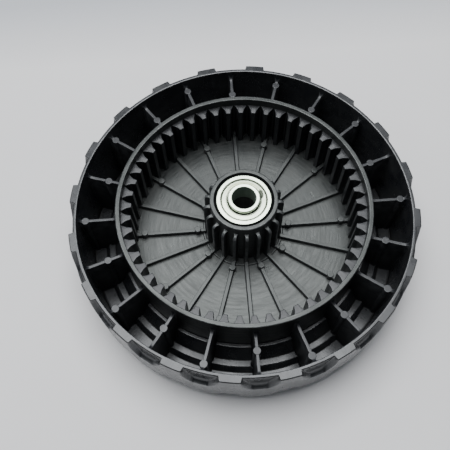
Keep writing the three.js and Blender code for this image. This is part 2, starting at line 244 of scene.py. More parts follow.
def noise(tree, vector, scale, detail=3.0, roughness=0.55):
    # Fractal noise from 0 to 1
    sockets = {"Vector": vector, "Scale": scale, "Detail": detail, "Roughness": roughness}
    return addNode(tree, "ShaderNodeTexNoise", sockets).outputs["Fac"]


def mixColour(tree, factor, first, second):
    # first (1 - factor) + second factor
    node = addNode(tree, "ShaderNodeMix", data_type="RGBA")
    for socket, value in ((node.inputs[0], factor), (node.inputs[6], first), (node.inputs[7], second)):
        if isinstance(value, bpy.types.NodeSocket):
            tree.links.new(value, socket)
        else:
            socket.default_value = value
    return node.outputs[2]


def makePolarGroup():
    # Radius about Z from Object coordinates, sqrt(x x + y y), and noise drawn out round the axis. The
    # noise reads (x / radius, y / radius) times Around and (radius + z) times Outwards, so that it has
    # no seam where the angle starts again.
    group, given, out = newGroup("polarPattern", [
        ("Vector", "NodeSocketVector", (0, 0, 0)), ("Around", "NodeSocketFloat", 1.0),
        ("Outwards", "NodeSocketFloat", 1.0), ("Scale", "NodeSocketFloat", 1.0),
        ("Detail", "NodeSocketFloat", 3.0), ("Roughness", "NodeSocketFloat", 0.6)],
        [("Pattern", "NodeSocketFloat"), ("Radius", "NodeSocketFloat")])
    x, y, z = addNode(group, "ShaderNodeSeparateXYZ", {"Vector": given.outputs["Vector"]}).outputs
    square = calc(group, "ADD", calc(group, "MULTIPLY", x, x), calc(group, "MULTIPLY", y, y))
    radius = calc(group, "SQRT", square)
    safe = calc(group, "MAXIMUM", radius, 1e-6)
    along = calc(group, "MULTIPLY", calc(group, "DIVIDE", x, safe), given.outputs["Around"])
    across = calc(group, "MULTIPLY", calc(group, "DIVIDE", y, safe), given.outputs["Around"])
    far = calc(group, "MULTIPLY", calc(group, "ADD", radius, z), given.outputs["Outwards"])
    vector = addNode(group, "ShaderNodeCombineXYZ", {"X": along, "Y": across, "Z": far}).outputs[0]
    pattern = noise(group, vector, *(given.outputs[k] for k in ("Scale", "Detail", "Roughness")))
    group.links.new(pattern, out.inputs["Pattern"])
    group.links.new(radius, out.inputs["Radius"])
    return group


mouldNoise = {
    "grainDetail": 2.0,
    "rippleDetail": 2.0,
    "rippleRoughness": 0.4,
    "blotchScale": 38.0,
    "blotchDetail": 4.0,
    "blotchRoughness": 0.6,
    "blotchWindow": (0.32, 0.68),    # noise values that become 0 and 1
}


def makeMouldGroup():
    # Moulded surface: height = fine grain + slow ripple * Ripple, and a blotch mask for colour
    group, given, out = newGroup("mouldedSkin", [
        ("Vector", "NodeSocketVector", (0, 0, 0)), ("Grain Scale", "NodeSocketFloat", 1800.0),
        ("Ripple Scale", "NodeSocketFloat", 60.0), ("Ripple", "NodeSocketFloat", 0.5)],
        [("Height", "NodeSocketFloat"), ("Blotch", "NodeSocketFloat")])
    place = given.outputs["Vector"]
    grain = noise(group, place, given.outputs["Grain Scale"], mouldNoise["grainDetail"])
    ripple = noise(group, place, given.outputs["Ripple Scale"], mouldNoise["rippleDetail"],
                   mouldNoise["rippleRoughness"])
    blotch = noise(group, place, mouldNoise["blotchScale"], mouldNoise["blotchDetail"],
                   mouldNoise["blotchRoughness"])
    group.links.new(plusShare(group, grain, ripple, given.outputs["Ripple"]), out.inputs["Height"])
    group.links.new(remap(group, blotch, *mouldNoise["blotchWindow"]), out.inputs["Blotch"])
    return group


wearAndShadeNoise = {
    "broken": (170.0, 4.0, 0.7),     # scale, detail and roughness of the noise, here and below
    "brokenWindow": (0.38, 0.66),
    "cloud": (85.0, 5.0, 0.65),
    "cloudWindow": (0.4, 0.75),
    "cloudShare": 0.5,
    "creaseLeast": 0.6,              # share of a crease left where the noise is lowest
    "streak": (140.0, 5.0, 0.75),
    "streakWindow": (0.6, 0.74),
    "streakTurn": (0.3, 0.5, 0.9),
    "streakStretch": (1.0, 6.0, 2.0),
}


def makeWearAndShadeGroup():
    # Rubbed edges, creases darkened by painted shade and grime, dust and scuffs. The edge and nook
    # attributes are 1 on outward and inward roundings and noise breaks both up: rubbed = edge * broken *
    # Rub, crease shade = nook * Crease * (0.6 + 0.4 broken). Dust and scuffs are clouds and streaks of
    # noise on open faces.
    group, given, out = newGroup("handlingWearAndShade", [
        ("Vector", "NodeSocketVector", (0, 0, 0)), ("Rub", "NodeSocketFloat", 0.5),
        ("Dust", "NodeSocketFloat", 0.4), ("Scuffs", "NodeSocketFloat", 0.3),
        ("Crease", "NodeSocketFloat", 0.7)],
        [("Rubbed", "NodeSocketFloat"), ("Dusty", "NodeSocketFloat"), ("Scuffed", "NodeSocketFloat"),
         ("CreaseShade", "NodeSocketFloat")])
    place = given.outputs["Vector"]
    edge = addNode(group, "ShaderNodeAttribute", attribute_name="edge").outputs["Fac"]
    # nook: where creases are darkened by painted shade and grime
    nook = addNode(group, "ShaderNodeAttribute", attribute_name="nook").outputs["Fac"]
    broken = remap(group, noise(group, place, *wearAndShadeNoise["broken"]), *wearAndShadeNoise["brokenWindow"])
    cloud = remap(group, noise(group, place, *wearAndShadeNoise["cloud"]), *wearAndShadeNoise["cloudWindow"])
    uneven = remap(group, broken, 0.0, 1.0, wearAndShadeNoise["creaseLeast"], 1.0)
    stretched = addNode(group, "ShaderNodeMapping", {"Vector": place, "Rotation": wearAndShadeNoise["streakTurn"],
                                                     "Scale": wearAndShadeNoise["streakStretch"]}).outputs[0]
    streak = remap(group, noise(group, stretched, *wearAndShadeNoise["streak"]), *wearAndShadeNoise["streakWindow"])
    for title, first, second, amount in (
            ("Rubbed", edge, broken, "Rub"), ("Dusty", cloud, wearAndShadeNoise["cloudShare"], "Dust"),
            ("Scuffed", streak, 1.0, "Scuffs"), ("CreaseShade", nook, uneven, "Crease")):
        mask = calc(group, "MULTIPLY", first, second)
        mask = calc(group, "MULTIPLY", mask, given.outputs[amount], clamp=True)
        group.links.new(mask, out.inputs[title])
    return group


turnedNoise = {
    "fine": (1.0, 3.0, 0.6),         # scale, detail and roughness
    "broad": (0.22, 2.0, 0.5),
    "bandWindow": (0.35, 0.65),
}


def makeTurnedGroup():
    # Lines left by turning or grinding: noise drawn out round the axis, fine across it, as a height,
    # and the same at a broader scale as bands of gloss
    group, given, out = newGroup("turnedLines", [
        ("Vector", "NodeSocketVector", (0, 0, 0)), ("Line Scale", "NodeSocketFloat", 4000.0),
        ("Drift", "NodeSocketFloat", 1.5)],
        [("Height", "NodeSocketFloat"), ("Bands", "NodeSocketFloat")])

    def linesAt(kind):
        # The polar pattern at this kind's scale
        scale, detail, roughness = turnedNoise[kind]
        return fillGroup(group, polarGroup, {
            "Vector": given.outputs["Vector"], "Around": given.outputs["Drift"],
            "Outwards": given.outputs["Line Scale"], "Scale": scale, "Detail": detail,
            "Roughness": roughness}).outputs["Pattern"]

    group.links.new(linesAt("fine"), out.inputs["Height"])
    group.links.new(remap(group, linesAt("broad"), *turnedNoise["bandWindow"]), out.inputs["Bands"])
    return group


polarGroup = makePolarGroup()
mouldGroup = makeMouldGroup()
wearAndShadeGroup = makeWearAndShadeGroup()
turnedGroup = makeTurnedGroup()


def newMaterial(name):
    # A material with a Principled shader, and its Object coordinates
    material = bpy.data.materials.new(name)
    material.use_nodes = True
    tree = material.node_tree
    tree.nodes.clear()
    shader = tree.nodes.new("ShaderNodeBsdfPrincipled")
    output = tree.nodes.new("ShaderNodeOutputMaterial")
    tree.links.new(shader.outputs[0], output.inputs[0])
    place = tree.nodes.new("ShaderNodeTexCoord").outputs["Object"]
    return material, tree, shader, place


def ringMask(tree, distance, radius, width, core):
    # 1 near a circle about the axis, falling to 0 at the half width: |distance - radius| is remapped
    # from core * width ... width to 1 ... 0
    away = calc(tree, "ABSOLUTE", calc(tree, "SUBTRACT", distance, radius * mm))
    return remap(tree, away, width * mm * core, width * mm, 1.0, 0.0)


plasticLook = {
    "grain": 2600.0,
    "ripple": 70.0,
    "rippleDepth": 0.9,
    "rub": 0.7,
    "dust": 0.35,
    "scuffs": 0.25,
    "crease": 0.8,
    "flowAround": 9.0,
    "flowOutwards": 40.0,
    "flowNoise": (1.0, 4.0, 0.62),   # scale, detail and roughness
    "flowWindow": (0.3, 0.7),
    "streakDepth": 0.8,
    "streakShade": 0.5,
    "blotchShade": 0.5,
    "bump": 0.5,
    "bumpDistance": 0.00004,         # metres
    "ior": 1.54,
    "specular": (0.5, 0.08),         # level on open faces and in creases
    "sheen": (0.95, 0.975, 1.0, 1),
    "dustDull": 0.25,                # roughness added by dust and in creases, and lost where rubbed
    "creaseDull": 0.35,
    "rubGloss": 0.12,
    "paintedShadeRings": [],                 # rings of painted shade: radius and half width of each
    "paintedShadeRingCore": 0.7,
    "rubColour": (0.1, 0.106, 0.112, 1),
    "dustColour": (0.11, 0.112, 0.108, 1),
    # near black in creases: painted shade and grime
    "creaseShadeColour": (0.003, 0.0032, 0.0038, 1),
}
discLook = dict(plasticLook, flowAround=4.0, flowOutwards=650.0, streakDepth=2.0, dust=0.55, scuffs=0.4,
                ior=1.53, streakShade=0.8, crease=0.5, sheen=(0.94, 1.0, 0.985, 1),
                paintedShadeRings=[(18.35, 0.75)])      # painted shade in the gap around the bearing's mouth
ribLook = dict(discLook, flowAround=9.0, flowOutwards=60.0, streakDepth=0.8, rub=0.9, crease=0.3,
               paintedShadeRings=[])
pocketLook = dict(plasticLook, dust=0.2, scuffs=0.1, bump=0.4)
treadLook = dict(plasticLook, rub=0.8, dust=0.4, scuffs=0.5, grain=1500.0, crease=0.95)


def mouldedPlastic(name, dark, light, gloss, look):
    # Black moulding: two close greys by blotch and flow streak, rubbed edges paler, creases darker and
    # dull by painted shade and grime, rings of painted shade, dust duller. Bump height = grain and ripple
    # + streak * streakDepth.
    material, tree, shader, place = newMaterial(name)
    skin = fillGroup(tree, mouldGroup, {"Vector": place, "Grain Scale": look["grain"],
                                        "Ripple Scale": look["ripple"], "Ripple": look["rippleDepth"]})
    wearAndShade = fillGroup(tree, wearAndShadeGroup, {"Vector": place, "Rub": look["rub"], "Dust": look["dust"],
                                       "Scuffs": look["scuffs"], "Crease": look["crease"]})
    scale, detail, roughness = look["flowNoise"]
    flow = fillGroup(tree, polarGroup, {"Vector": place, "Around": look["flowAround"],
                                        "Outwards": look["flowOutwards"], "Scale": scale,
                                        "Detail": detail, "Roughness": roughness})
    streak = remap(tree, flow.outputs["Pattern"], *look["flowWindow"])
    shade = calc(tree, "MULTIPLY", skin.outputs["Blotch"], look["blotchShade"])
    colour = mixColour(tree, plusShare(tree, shade, streak, look["streakShade"], clamp=True), dark, light)
    # creases take the crease colour: painted shade and grime
    for mask, cover in (("Rubbed", "rubColour"), ("CreaseShade", "creaseShadeColour"), ("Dusty", "dustColour"),
                        ("Scuffed", "rubColour")):
        colour = mixColour(tree, wearAndShade.outputs[mask], colour, look[cover])
    dull = wearAndShade.outputs["CreaseShade"]
    # rings of painted shade in the crease colour, duller too
    for radius, width in look["paintedShadeRings"]:
        ring = ringMask(tree, flow.outputs["Radius"], radius, width, look["paintedShadeRingCore"])
        colour = mixColour(tree, ring, colour, look["creaseShadeColour"])
        dull = calc(tree, "MAXIMUM", dull, ring)
    roughness = remap(tree, streak, 0.0, 1.0, *gloss)
    roughness = plusShare(tree, roughness, wearAndShade.outputs["Dusty"], look["dustDull"])
    roughness = plusShare(tree, roughness, dull, look["creaseDull"])
    roughness = plusShare(tree, roughness, wearAndShade.outputs["Rubbed"], -look["rubGloss"], clamp=True)
    height = plusShare(tree, skin.outputs["Height"], streak, look["streakDepth"])
    bump = addNode(tree, "ShaderNodeBump", {"Strength": look["bump"], "Distance": look["bumpDistance"],
                                            "Height": height})
    tree.links.new(colour, shader.inputs["Base Color"])
    tree.links.new(roughness, shader.inputs["Roughness"])
    tree.links.new(bump.outputs[0], shader.inputs["Normal"])
    tree.links.new(remap(tree, dull, 0.0, 1.0, *look["specular"]), shader.inputs["Specular IOR Level"])
    shader.inputs["Specular Tint"].default_value = look["sheen"]
    shader.inputs["IOR"].default_value = look["ior"]
    return material


steelLook = {
    "lines": 9000.0,
    "drift": 1.2,
    "rub": 0.3,
    "film": 0.3,
    "scuffs": 0.3,
    "crease": 0.85,
    "bump": 0.35,
    "bumpDistance": 0.00001,         # metres
    "filmColour": (0.2, 0.21, 0.15, 1),
    "filmDull": 0.2,                 # roughness added by the film and by scuffs
    "scuffDull": 0.2,
    # dark colour of painted shade, in creases and along the shade lines
    "gapShadeColour": (0.035, 0.04, 0.03, 1),
    "shadeLineRings": [],               # lines of painted shade: radius and half width of each
    "shadeLineCore": 0.4,
    "shadeLineAround": 3.0,
    "shadeLineOutwards": 900.0,
    "shadeLineNoise": (1.4, 4.0, 0.7),  # scale, detail and roughness
    "shadeLineBroken": (0.3, 0.62, 0.45, 1.0),
    "shadeArc": None,                   # arc of painted shade: radius and half width, towards +Y
    "shadeArcCore": 0.5,
    "shadeArcSide": (4.0, 11.0, 0.7),   # y where it starts, y where it is full, its strength
    "shadeArcColour": (0.3, 0.34, 0.2, 1),
    "mark": None,                    # x, y, half width and half length
    "markGrain": (900.0, 4.0, 0.7),
    "markRagged": 0.7,
    "markEdge": (1.2, 1.4, 0.95),    # reach where it starts to fade, where it is gone, its strength
    "markColour": (0.02, 0.024, 0.018, 1),
    "boreRadius": 7.8,
    # painted shade inside the bore
    "boreColour": (0.2, 0.27, 0.22, 1),
    "boreShare": 0.8,
    "boreDull": 0.15,                # roughness added inside the bore
    "boreNonMetal": 0.55,                # share of the bore that is not metal, so its painted shade colour shows
}
# lines of painted shade at the shield's step and at its lip
shieldLook = dict(steelLook, lines=3500.0, film=0.5, scuffs=0.6, shadeArc=(12.1, 1.3),
                  shadeLineRings=[(14.2, 0.42), (10.3, 0.6)])


def turnedSteel(name, colour, tint, gloss, look):
    # Bare steel: turning lines as bump and gloss bands, a thin film of grease as darker, duller blots,
    # rings of painted shade broken by noise, an arc of painted shade to one side, painted shade in the
    # creases and the bore, and a mark: an ellipse, (x / half width)^2 + (y / half length)^2, with a
    # ragged edge
    material, tree, shader, place = newMaterial(name)
    lines = fillGroup(tree, turnedGroup, {"Vector": place, "Line Scale": look["lines"],
                                          "Drift": look["drift"]})
    wearAndShade = fillGroup(tree, wearAndShadeGroup, {"Vector": place, "Rub": look["rub"], "Dust": look["film"],
                                       "Scuffs": look["scuffs"], "Crease": look["crease"]})
    scale, detail, roughness = look["shadeLineNoise"]
    polar = fillGroup(tree, polarGroup, {"Vector": place, "Around": look["shadeLineAround"],
                                         "Outwards": look["shadeLineOutwards"], "Scale": scale,
                                         "Detail": detail, "Roughness": roughness})
    distance = polar.outputs["Radius"]
    shade = mixColour(tree, lines.outputs["Bands"], colour, tint)
    shade = mixColour(tree, wearAndShade.outputs["Dusty"], shade, look["filmColour"])
    # creases darkened by painted shade
    shade = mixColour(tree, wearAndShade.outputs["CreaseShade"], shade, look["gapShadeColour"])
    broken = remap(tree, polar.outputs["Pattern"], *look["shadeLineBroken"])
    # lines of painted shade at the shield's step and lip, broken by noise
    for radius, width in look["shadeLineRings"]:
        ring = ringMask(tree, distance, radius, width, look["shadeLineCore"])
        shade = mixColour(tree, calc(tree, "MULTIPLY", ring, broken), shade, look["gapShadeColour"])
    # an arc of painted shade on the +Y side of the shield
    if look["shadeArc"]:
        start, full, strength = look["shadeArcSide"]
        y = addNode(tree, "ShaderNodeSeparateXYZ", {"Vector": place}).outputs["Y"]
        side = remap(tree, y, start * mm, full * mm, 0.0, strength)
        ring = ringMask(tree, distance, *look["shadeArc"], look["shadeArcCore"])
        shade = mixColour(tree, calc(tree, "MULTIPLY", ring, side), shade, look["shadeArcColour"])
    if look["mark"]:
        x, y, halfWide, halfLong = (v * mm for v in look["mark"])
        spot = addNode(tree, "ShaderNodeMapping", {
            "Vector": place, "Location": (-x / halfWide, -y / halfLong, 0),
            "Scale": (1 / halfWide, 1 / halfLong, 0)})
        reach = addNode(tree, "ShaderNodeVectorMath", {0: spot.outputs[0]}, operation="LENGTH")
        ragged = plusShare(tree, reach.outputs["Value"], noise(tree, place, *look["markGrain"]),
                           look["markRagged"])
        start, gone, strength = look["markEdge"]
        shade = mixColour(tree, remap(tree, ragged, start, gone, strength, 0.0), shade, look["markColour"])
    # inside the bore the colour turns darker: painted shade
    inside = calc(tree, "LESS_THAN", distance, look["boreRadius"] * mm)
    shade = mixColour(tree, calc(tree, "MULTIPLY", inside, look["boreShare"]), shade, look["boreColour"])
    roughness = remap(tree, lines.outputs["Bands"], 0.0, 1.0, *gloss)
    roughness = plusShare(tree, roughness, inside, look["boreDull"])
    roughness = plusShare(tree, roughness, wearAndShade.outputs["Dusty"], look["filmDull"])
    roughness = plusShare(tree, roughness, wearAndShade.outputs["Scuffed"], look["scuffDull"], clamp=True)
    bump = addNode(tree, "ShaderNodeBump", {"Strength": look["bump"], "Distance": look["bumpDistance"],
                                            "Height": lines.outputs["Height"]})
    tree.links.new(shade, shader.inputs["Base Color"])
    tree.links.new(roughness, shader.inputs["Roughness"])
    tree.links.new(bump.outputs[0], shader.inputs["Normal"])
    tree.links.new(plusShare(tree, 1.0, inside, -look["boreNonMetal"]), shader.inputs["Metallic"])
    return material


treadPlastic = mouldedPlastic("treadPlastic", (0.011, 0.0122, 0.015, 1), (0.022, 0.0238, 0.027, 1),
                              (0.2, 0.34), treadLook)
# a darker copy of the black moulding for the teeth, webs and web bosses: painted shade of the deep pockets
shadedWallPlastic = mouldedPlastic("shadedWallPlastic", (0.0045, 0.0052, 0.0075, 1), (0.0105, 0.0118, 0.015, 1),
                             (0.33, 0.46), pocketLook)
discPlastic = mouldedPlastic("discPlastic", (0.0075, 0.0092, 0.0098, 1), (0.022, 0.025, 0.0255, 1),
                             (0.26, 0.46), discLook)
# a lighter copy of the black moulding for the ribs, their bosses and the hub fins: painted light on their
# lit tops
litRibPlastic = mouldedPlastic("litRibPlastic", (0.012, 0.0142, 0.0148, 1), (0.026, 0.029, 0.0298, 1),
                            (0.32, 0.44), ribLook)
raceSteel = turnedSteel("raceSteel", (0.52, 0.6, 0.49, 1), (0.63, 0.7, 0.59, 1), (0.16, 0.28), steelLook)
shieldFinish = ((0.47, 0.54, 0.42, 1), (0.58, 0.65, 0.53, 1), (0.2, 0.34))
shieldSteel = turnedSteel("shieldSteel", *shieldFinish, shieldLook)
markedShieldSteel = turnedSteel("markedShieldSteel", *shieldFinish,
                                dict(shieldLook, mark=(10.9, 3.2, 1.8, 3.6)))
cageSteel = turnedSteel("cageSteel", (0.42, 0.42, 0.4, 1), (0.5, 0.5, 0.48, 1), (0.3, 0.42), steelLook)
ballSteel = turnedSteel("ballSteel", (0.72, 0.72, 0.72, 1), (0.78, 0.78, 0.78, 1), (0.07, 0.12),
                        dict(steelLook, bump=0.05, film=0.15))
# its bore is painted near black: painted shade deep in the bore
spacerSteel = turnedSteel("spacerSteel", (0.34, 0.33, 0.32, 1), (0.42, 0.41, 0.4, 1), (0.32, 0.46),
                          dict(steelLook, lines=2500.0, bump=0.6, boreColour=(0.008, 0.01, 0.009, 1)))
print("materials ready")


rim = {
    "width": 51.0,               # outer face to rim top
    "crownDrop": 0.6,            # tread radius lost at the rim top
    "footRadius": 106.0,
    "bandLow": 15.0,
    "bandHigh": 44.0,
    "innerTop": 106.5,
    "innerFoot": 104.1,
    "edge": 0.55,                # rounding of the rim top's edges
    "columns": (8, 7, 5),       # per half pitch: scoop, flank, lug
}
scoops = {
    "floorRadius": 108.7,
    "lugBase": 13.4,             # lug width on the scoop floor, at the tread edge
    "lugTip": 11.9,              # lug width on the tread, at the tread edge
    "endWidth": 10.0,
    "endTaper": 0.6,            # floor's width at the scoop's end as a share of its mouth there
    "topDepth": 14.8,
    "footDepth": 20.0,
    "ramp": 5.5,
    "floorPower": 1.5,           # how late floor and mouth narrow; 1 is a straight side
    "mouthPower": 2.0,
}


def treadRadiusAt(height):
    # A quarter ellipse from the outer face to the band, the band, then a slight fall to the rim top
    low, high = rim["bandLow"], rim["bandHigh"]
    rise = np.clip(1 - height / low, 0, 1)
    foot = rim["footRadius"] + (treadRadius - rim["footRadius"]) * np.sqrt(1 - rise ** 2)
    crown = rim["crownDrop"] * np.clip((height - high) / (rim["width"] - high), 0, 1)
    return foot - crown


def scoopShape(height, edge, direction, depth):
    # Half widths of a scoop at its floor and at the tread, in millimetres of arc, and how far its floor
    # is set in, from 1 in the scoop to 0 at its end, where it runs out along a quarter ellipse. Floor
    # and mouth narrow faster than the straight line between their ends, so the scoop is a bowl.
    reach = np.clip((edge - height) * direction, 0, depth)
    straight = depth - scoops["ramp"]
    endHalf = scoops["endWidth"] / 2
    floorHalf = (scoops["floorRadius"] * pitch - scoops["lugBase"]) / 2
    mouthHalf = ((treadRadius - rim["crownDrop"]) * pitch - scoops["lugTip"]) / 2
    floorEnd = endHalf * scoops["endTaper"]
    floorHere = floorHalf + (floorEnd - floorHalf) * (reach / depth) ** scoops["floorPower"]
    mouthHere = mouthHalf + (endHalf - mouthHalf) * (reach / depth) ** scoops["mouthPower"]
    past = np.clip((reach - straight) / scoops["ramp"], 0, 1)
    deep = np.sqrt(np.clip(1 - past ** 2, 0, 1))
    return floorHere, mouthHere, deep


def treadRows():
    # Heights of the tread's rows from the outer face to the rim top: the foot's by 1 - cos t, each
    # scoop's end by sin t, so that rows bunch there, and even steps between
    topEnd = rim["width"] - scoops["topDepth"]
    ramp = scoops["ramp"]
    footEnd = scoops["footDepth"]
    curve = np.sin(np.linspace(0, np.pi / 2, 8))
    foot = rim["bandLow"] * (1 - np.cos(np.linspace(0.1, 1, 10) * np.pi / 2))
    close, near = 0.05, 0.4      # rows just past a scoop's end, which keep the band flat
    return np.unique(np.round(np.concatenate([
        foot, footEnd - ramp + ramp * curve, [footEnd + close, footEnd + near],
        np.linspace(footEnd + 1, topEnd - 1, 7), [topEnd - near, topEnd - close],
        topEnd + ramp - ramp * curve, np.linspace(topEnd + ramp, rim["width"] - rim["edge"], 9)]), 3))


def buildRim():
    # Rows run once round the rim's section, columns round the axis. Columns bunch at the flanks of the
    # scoops: in each half pitch they are shared between scoop floor, flank and lug, whose limits follow
    # the scoop's sides up the tread and pass smoothly from the lower scoops' to the upper scoops'.
    width, edge = rim["width"], rim["edge"]
    heights = treadRows()
    topFloor, topMouth, topDeep = scoopShape(heights, width, 1, scoops["topDepth"])
    footFloor, footMouth, footDeep = scoopShape(heights, 0.0, -1, scoops["footDepth"])
    halfPitch = pitch / 2
    topEnd, footEnd = width - scoops["topDepth"], scoops["footDepth"]
    blend = np.clip((heights - footEnd) / (topEnd - footEnd), 0, 1)
    blend = blend * blend * (3 - 2 * blend)
    first = (1 - blend) * (halfPitch - footMouth / treadRadius) + blend * topFloor / scoops["floorRadius"]
    second = (1 - blend) * (halfPitch - footFloor / scoops["floorRadius"]) + blend * topMouth / treadRadius
    counts = rim["columns"]
    steps = np.concatenate([np.arange(counts[0]) / counts[0], 1 + np.arange(counts[1]) / counts[1],
                            2 + np.linspace(0, 1, counts[2] + 1)])
    limits = np.stack([0 * first, first, second, halfPitch + 0 * first], axis=1)
    whole = np.minimum(steps.astype(int), 2)
    part = steps - whole
    halfAngles = limits[:, whole] * (1 - part) + limits[:, whole + 1] * part
    # depth of the cut: 1 on the floor, falling across the flank
    fall = np.clip(steps - 1, 0, 1)[None]
    ease = 0.5 + 0.5 * np.cos(np.pi * fall)
    cutTop = (heights >= topEnd)[:, None] * topDeep[:, None] * ease
    cutFoot = (heights <= footEnd)[:, None] * footDeep[:, None] * (1 - ease)
    base = treadRadiusAt(heights)[:, None]
    footFloorRadius = np.minimum(base, scoopFootFloor(heights)[:, None])
    radius = base - cutTop * np.maximum(base - scoops["floorRadius"], 0) - cutFoot * (base - footFloorRadius)
    angles = np.concatenate([halfAngles, 2 * halfPitch - halfAngles[:, -2:0:-1]], axis=1)
    radius = np.concatenate([radius, radius[:, -2:0:-1]], axis=1)
    angles = (angles[:, None] + firstWeb + everyWeb[None, :, None] * pitch).reshape(len(heights), -1)
    radius = np.tile(radius, (1, pitches))
    treadPoints = np.stack([radius * np.cos(angles), radius * np.sin(angles),
                            heights[:, None] + 0 * angles], -1)
    treadMask = np.zeros(radius.shape)
    # the edge at the rim top: a quarter circle that follows the tread's outline
    turn = np.linspace(0, np.pi / 2, 5)[1:, None]
    topAngles = angles[-1][None]
    overRadius = radius[-1][None] - edge * (1 - np.cos(turn))
    overHeight = width - edge + edge * np.sin(turn) + 0 * topAngles
    overPoints = np.stack([overRadius * np.cos(topAngles), overRadius * np.sin(topAngles), overHeight], -1)
    restRadius = radius[-1][None] - edge - 0.12
    restPoints = np.stack([restRadius * np.cos(topAngles), restRadius * np.sin(topAngles),
                           width + 0 * restRadius], -1)
    # the rest of the section, turned with the same columns
    inside = insideOutline()
    innerPoints = np.stack([inside[:, 0:1] * np.cos(topAngles), inside[:, 0:1] * np.sin(topAngles),
                            inside[:, 1:2] + 0 * topAngles], -1)
    points = np.concatenate([treadPoints, overPoints, restPoints, innerPoints])[None]
    # the rim top's outer rounding is marked as a nook, so painted shade draws a dark line along it
    mask = np.concatenate([treadMask, -np.ones((len(turn), treadMask.shape[1])),
                           np.zeros((1, treadMask.shape[1])),
                           np.repeat(inside[:, 2:3], treadMask.shape[1], axis=1)])[None]
    return putMesh("wheel_rim", points, mask, treadPlastic, "wheel", wrapRows=True)


def scoopFootFloor(height):
    # The lower scoops' floor: a cone from the outer face's edge to where the scoop ends
    share = np.clip(height / (scoops["footDepth"] - scoops["ramp"]), 0, 1)
    return rim["footRadius"] + (scoops["floorRadius"] - rim["footRadius"]) * share


pocket = {
    "floor": 3.0,
    "ledge": 7.9,
    "ledgeFrom": 88.6,
    "ledgeTo": 93.0,
    "floorFrom": 95.5,
    "innerLedge": 18.6,
    "innerLedgeWidth": 2.2,
    "skew": 1.6,
}


def insideOutline():
    # The rim's section from its top's inner edge down the pocket wall, in over the stepped floor to
    # the gear wall, and back out along the underside
    skew, plate = pocket["skew"], disc["plate"]
    corners = [
        (rim["innerTop"], rim["width"], rim["edge"]),
        (rim["innerFoot"], pocket["floor"], 1.2),
        (pocket["floorFrom"], pocket["floor"], 0.8),
        (pocket["ledgeTo"], pocket["ledge"], 0.5),
        (pocket["ledgeFrom"], pocket["ledge"], 1.0),
        (gearWallRadius + pocket["innerLedgeWidth"], pocket["innerLedge"], 0.5),
        (gearWallRadius - 0.02, pocket["innerLedge"], 0.7),
        (gearWallRadius - 0.04, pocket["innerLedge"] + 1.2, 0.1),
        (gearWallRadius - skew, pocket["innerLedge"] + 1.2, 0.1),
        (gearWallRadius - skew, disc["top"] - plate + 0.05, 0.1),
        (pocket["ledgeFrom"] - skew, pocket["ledge"] - plate, 1.2),
        (pocket["ledgeTo"] - skew, pocket["ledge"] - plate, 0.8),
        (pocket["floorFrom"] - skew, 0.0, 0.8),
    ]
    extra = [(treadRadius, 0.0, 0.1), (treadRadius, rim["width"], 0.1)]
    rounded = roundCorners(corners + extra, steps=2)
    return rounded[:-2 * (len(rounded) // (len(corners) + 2))]


disc = {
    "top": 15.0,
    "plate": 3.0,
    "ringInner": 25.9,           # low ring around the hub's foot
    "ringOuter": 27.3,
    "ringHeight": 0.9,
    "columns": 360,
}
hub = {
    "radius": 21.5,
    "foot": 4.0,
    "seatRadius": 17.65,
    "upperSeat": 48.3,
    "lowerSeat": 15.5,
    "bore": 14.0,
    "mouthWidth": 1.25,
    "mouthDepth": 1.8,
    "edge": 0.7,
    "finReach": 4.2,
    "finThickness": 2.0,
    "finDrop": 6.5,
    "finShoulder": 2.8,
    "finFlare": 0.7,
    "finEdge": 0.35,
    "finRoot": 0.6,              # how far a fin starts inside the tube
}


def buildDisc():
    # Gear wall, disc and hub tube as one section, corners (radius, height, fillet), turned by r cos a,
    # r sin a, z
    low = disc["top"] - disc["plate"]
    seat, outer, foot = hub["seatRadius"], hub["radius"], hub["foot"]
    outline = roundCorners([
        (hub["bore"], hub["lowerSeat"], 0.4),
        (seat, hub["lowerSeat"], 0.15),
        (seat, foot + hub["mouthDepth"], 0.2),
        (seat + hub["mouthWidth"], foot, 0.3),
        (outer, foot, 0.6),
        (outer, low, 1.2),
        (gearWallRadius - 0.3, low, 0.2),
        (gearWallRadius, low + 1.6, 0.2),
        (gearWallRadius, gear["wallTop"], 0.5),
        (gearRootRadius, gear["wallTop"], 0.45),
        (gearRootRadius, disc["top"], 0.8),
        (disc["ringOuter"], disc["top"], 0.3),
        (disc["ringOuter"] - 0.15, disc["top"] + disc["ringHeight"], 0.25),
        (disc["ringInner"] + 0.15, disc["top"] + disc["ringHeight"], 0.25),
        (disc["ringInner"], disc["top"], 0.3),
        (outer, disc["top"], 1.0),
        (outer, hubTop, hub["edge"]),
        (seat + hub["mouthWidth"], hubTop, 0.3),
        (seat, hubTop - hub["mouthDepth"], 0.2),
        (seat, hub["upperSeat"], 0.15),
        (hub["bore"], hub["upperSeat"], 0.4),
    ])
    points, mask = turned(outline, disc["columns"])
    return putMesh("wheel_disc", points, mask, discPlastic, "wheel", wrapRows=True)


gear = {
    "teeth": 53,
    "pitchRadius": 74.79,
    "addendum": 2.822,
    "rootDepth": 1.25,           # in addenda
    "wall": 2.8,
    "wallTop": 56.0,
    "toothTop": 49.9,
    "tipWidth": 2.9,
    "rootGap": 0.8,
    "tipRound": 0.3,
    "rootRound": 0.4,
    "flankHollow": 0.5,          # how far the flank's middle lies inside a straight flank
    "flankRound": 4.0,
    "edge": 0.4,
}
gearRootRadius = gear["pitchRadius"] + gear["rootDepth"] * gear["addendum"]
gearTipRadius = gear["pitchRadius"] - gear["addendum"]
gearWallRadius = gearRootRadius + gear["wall"]


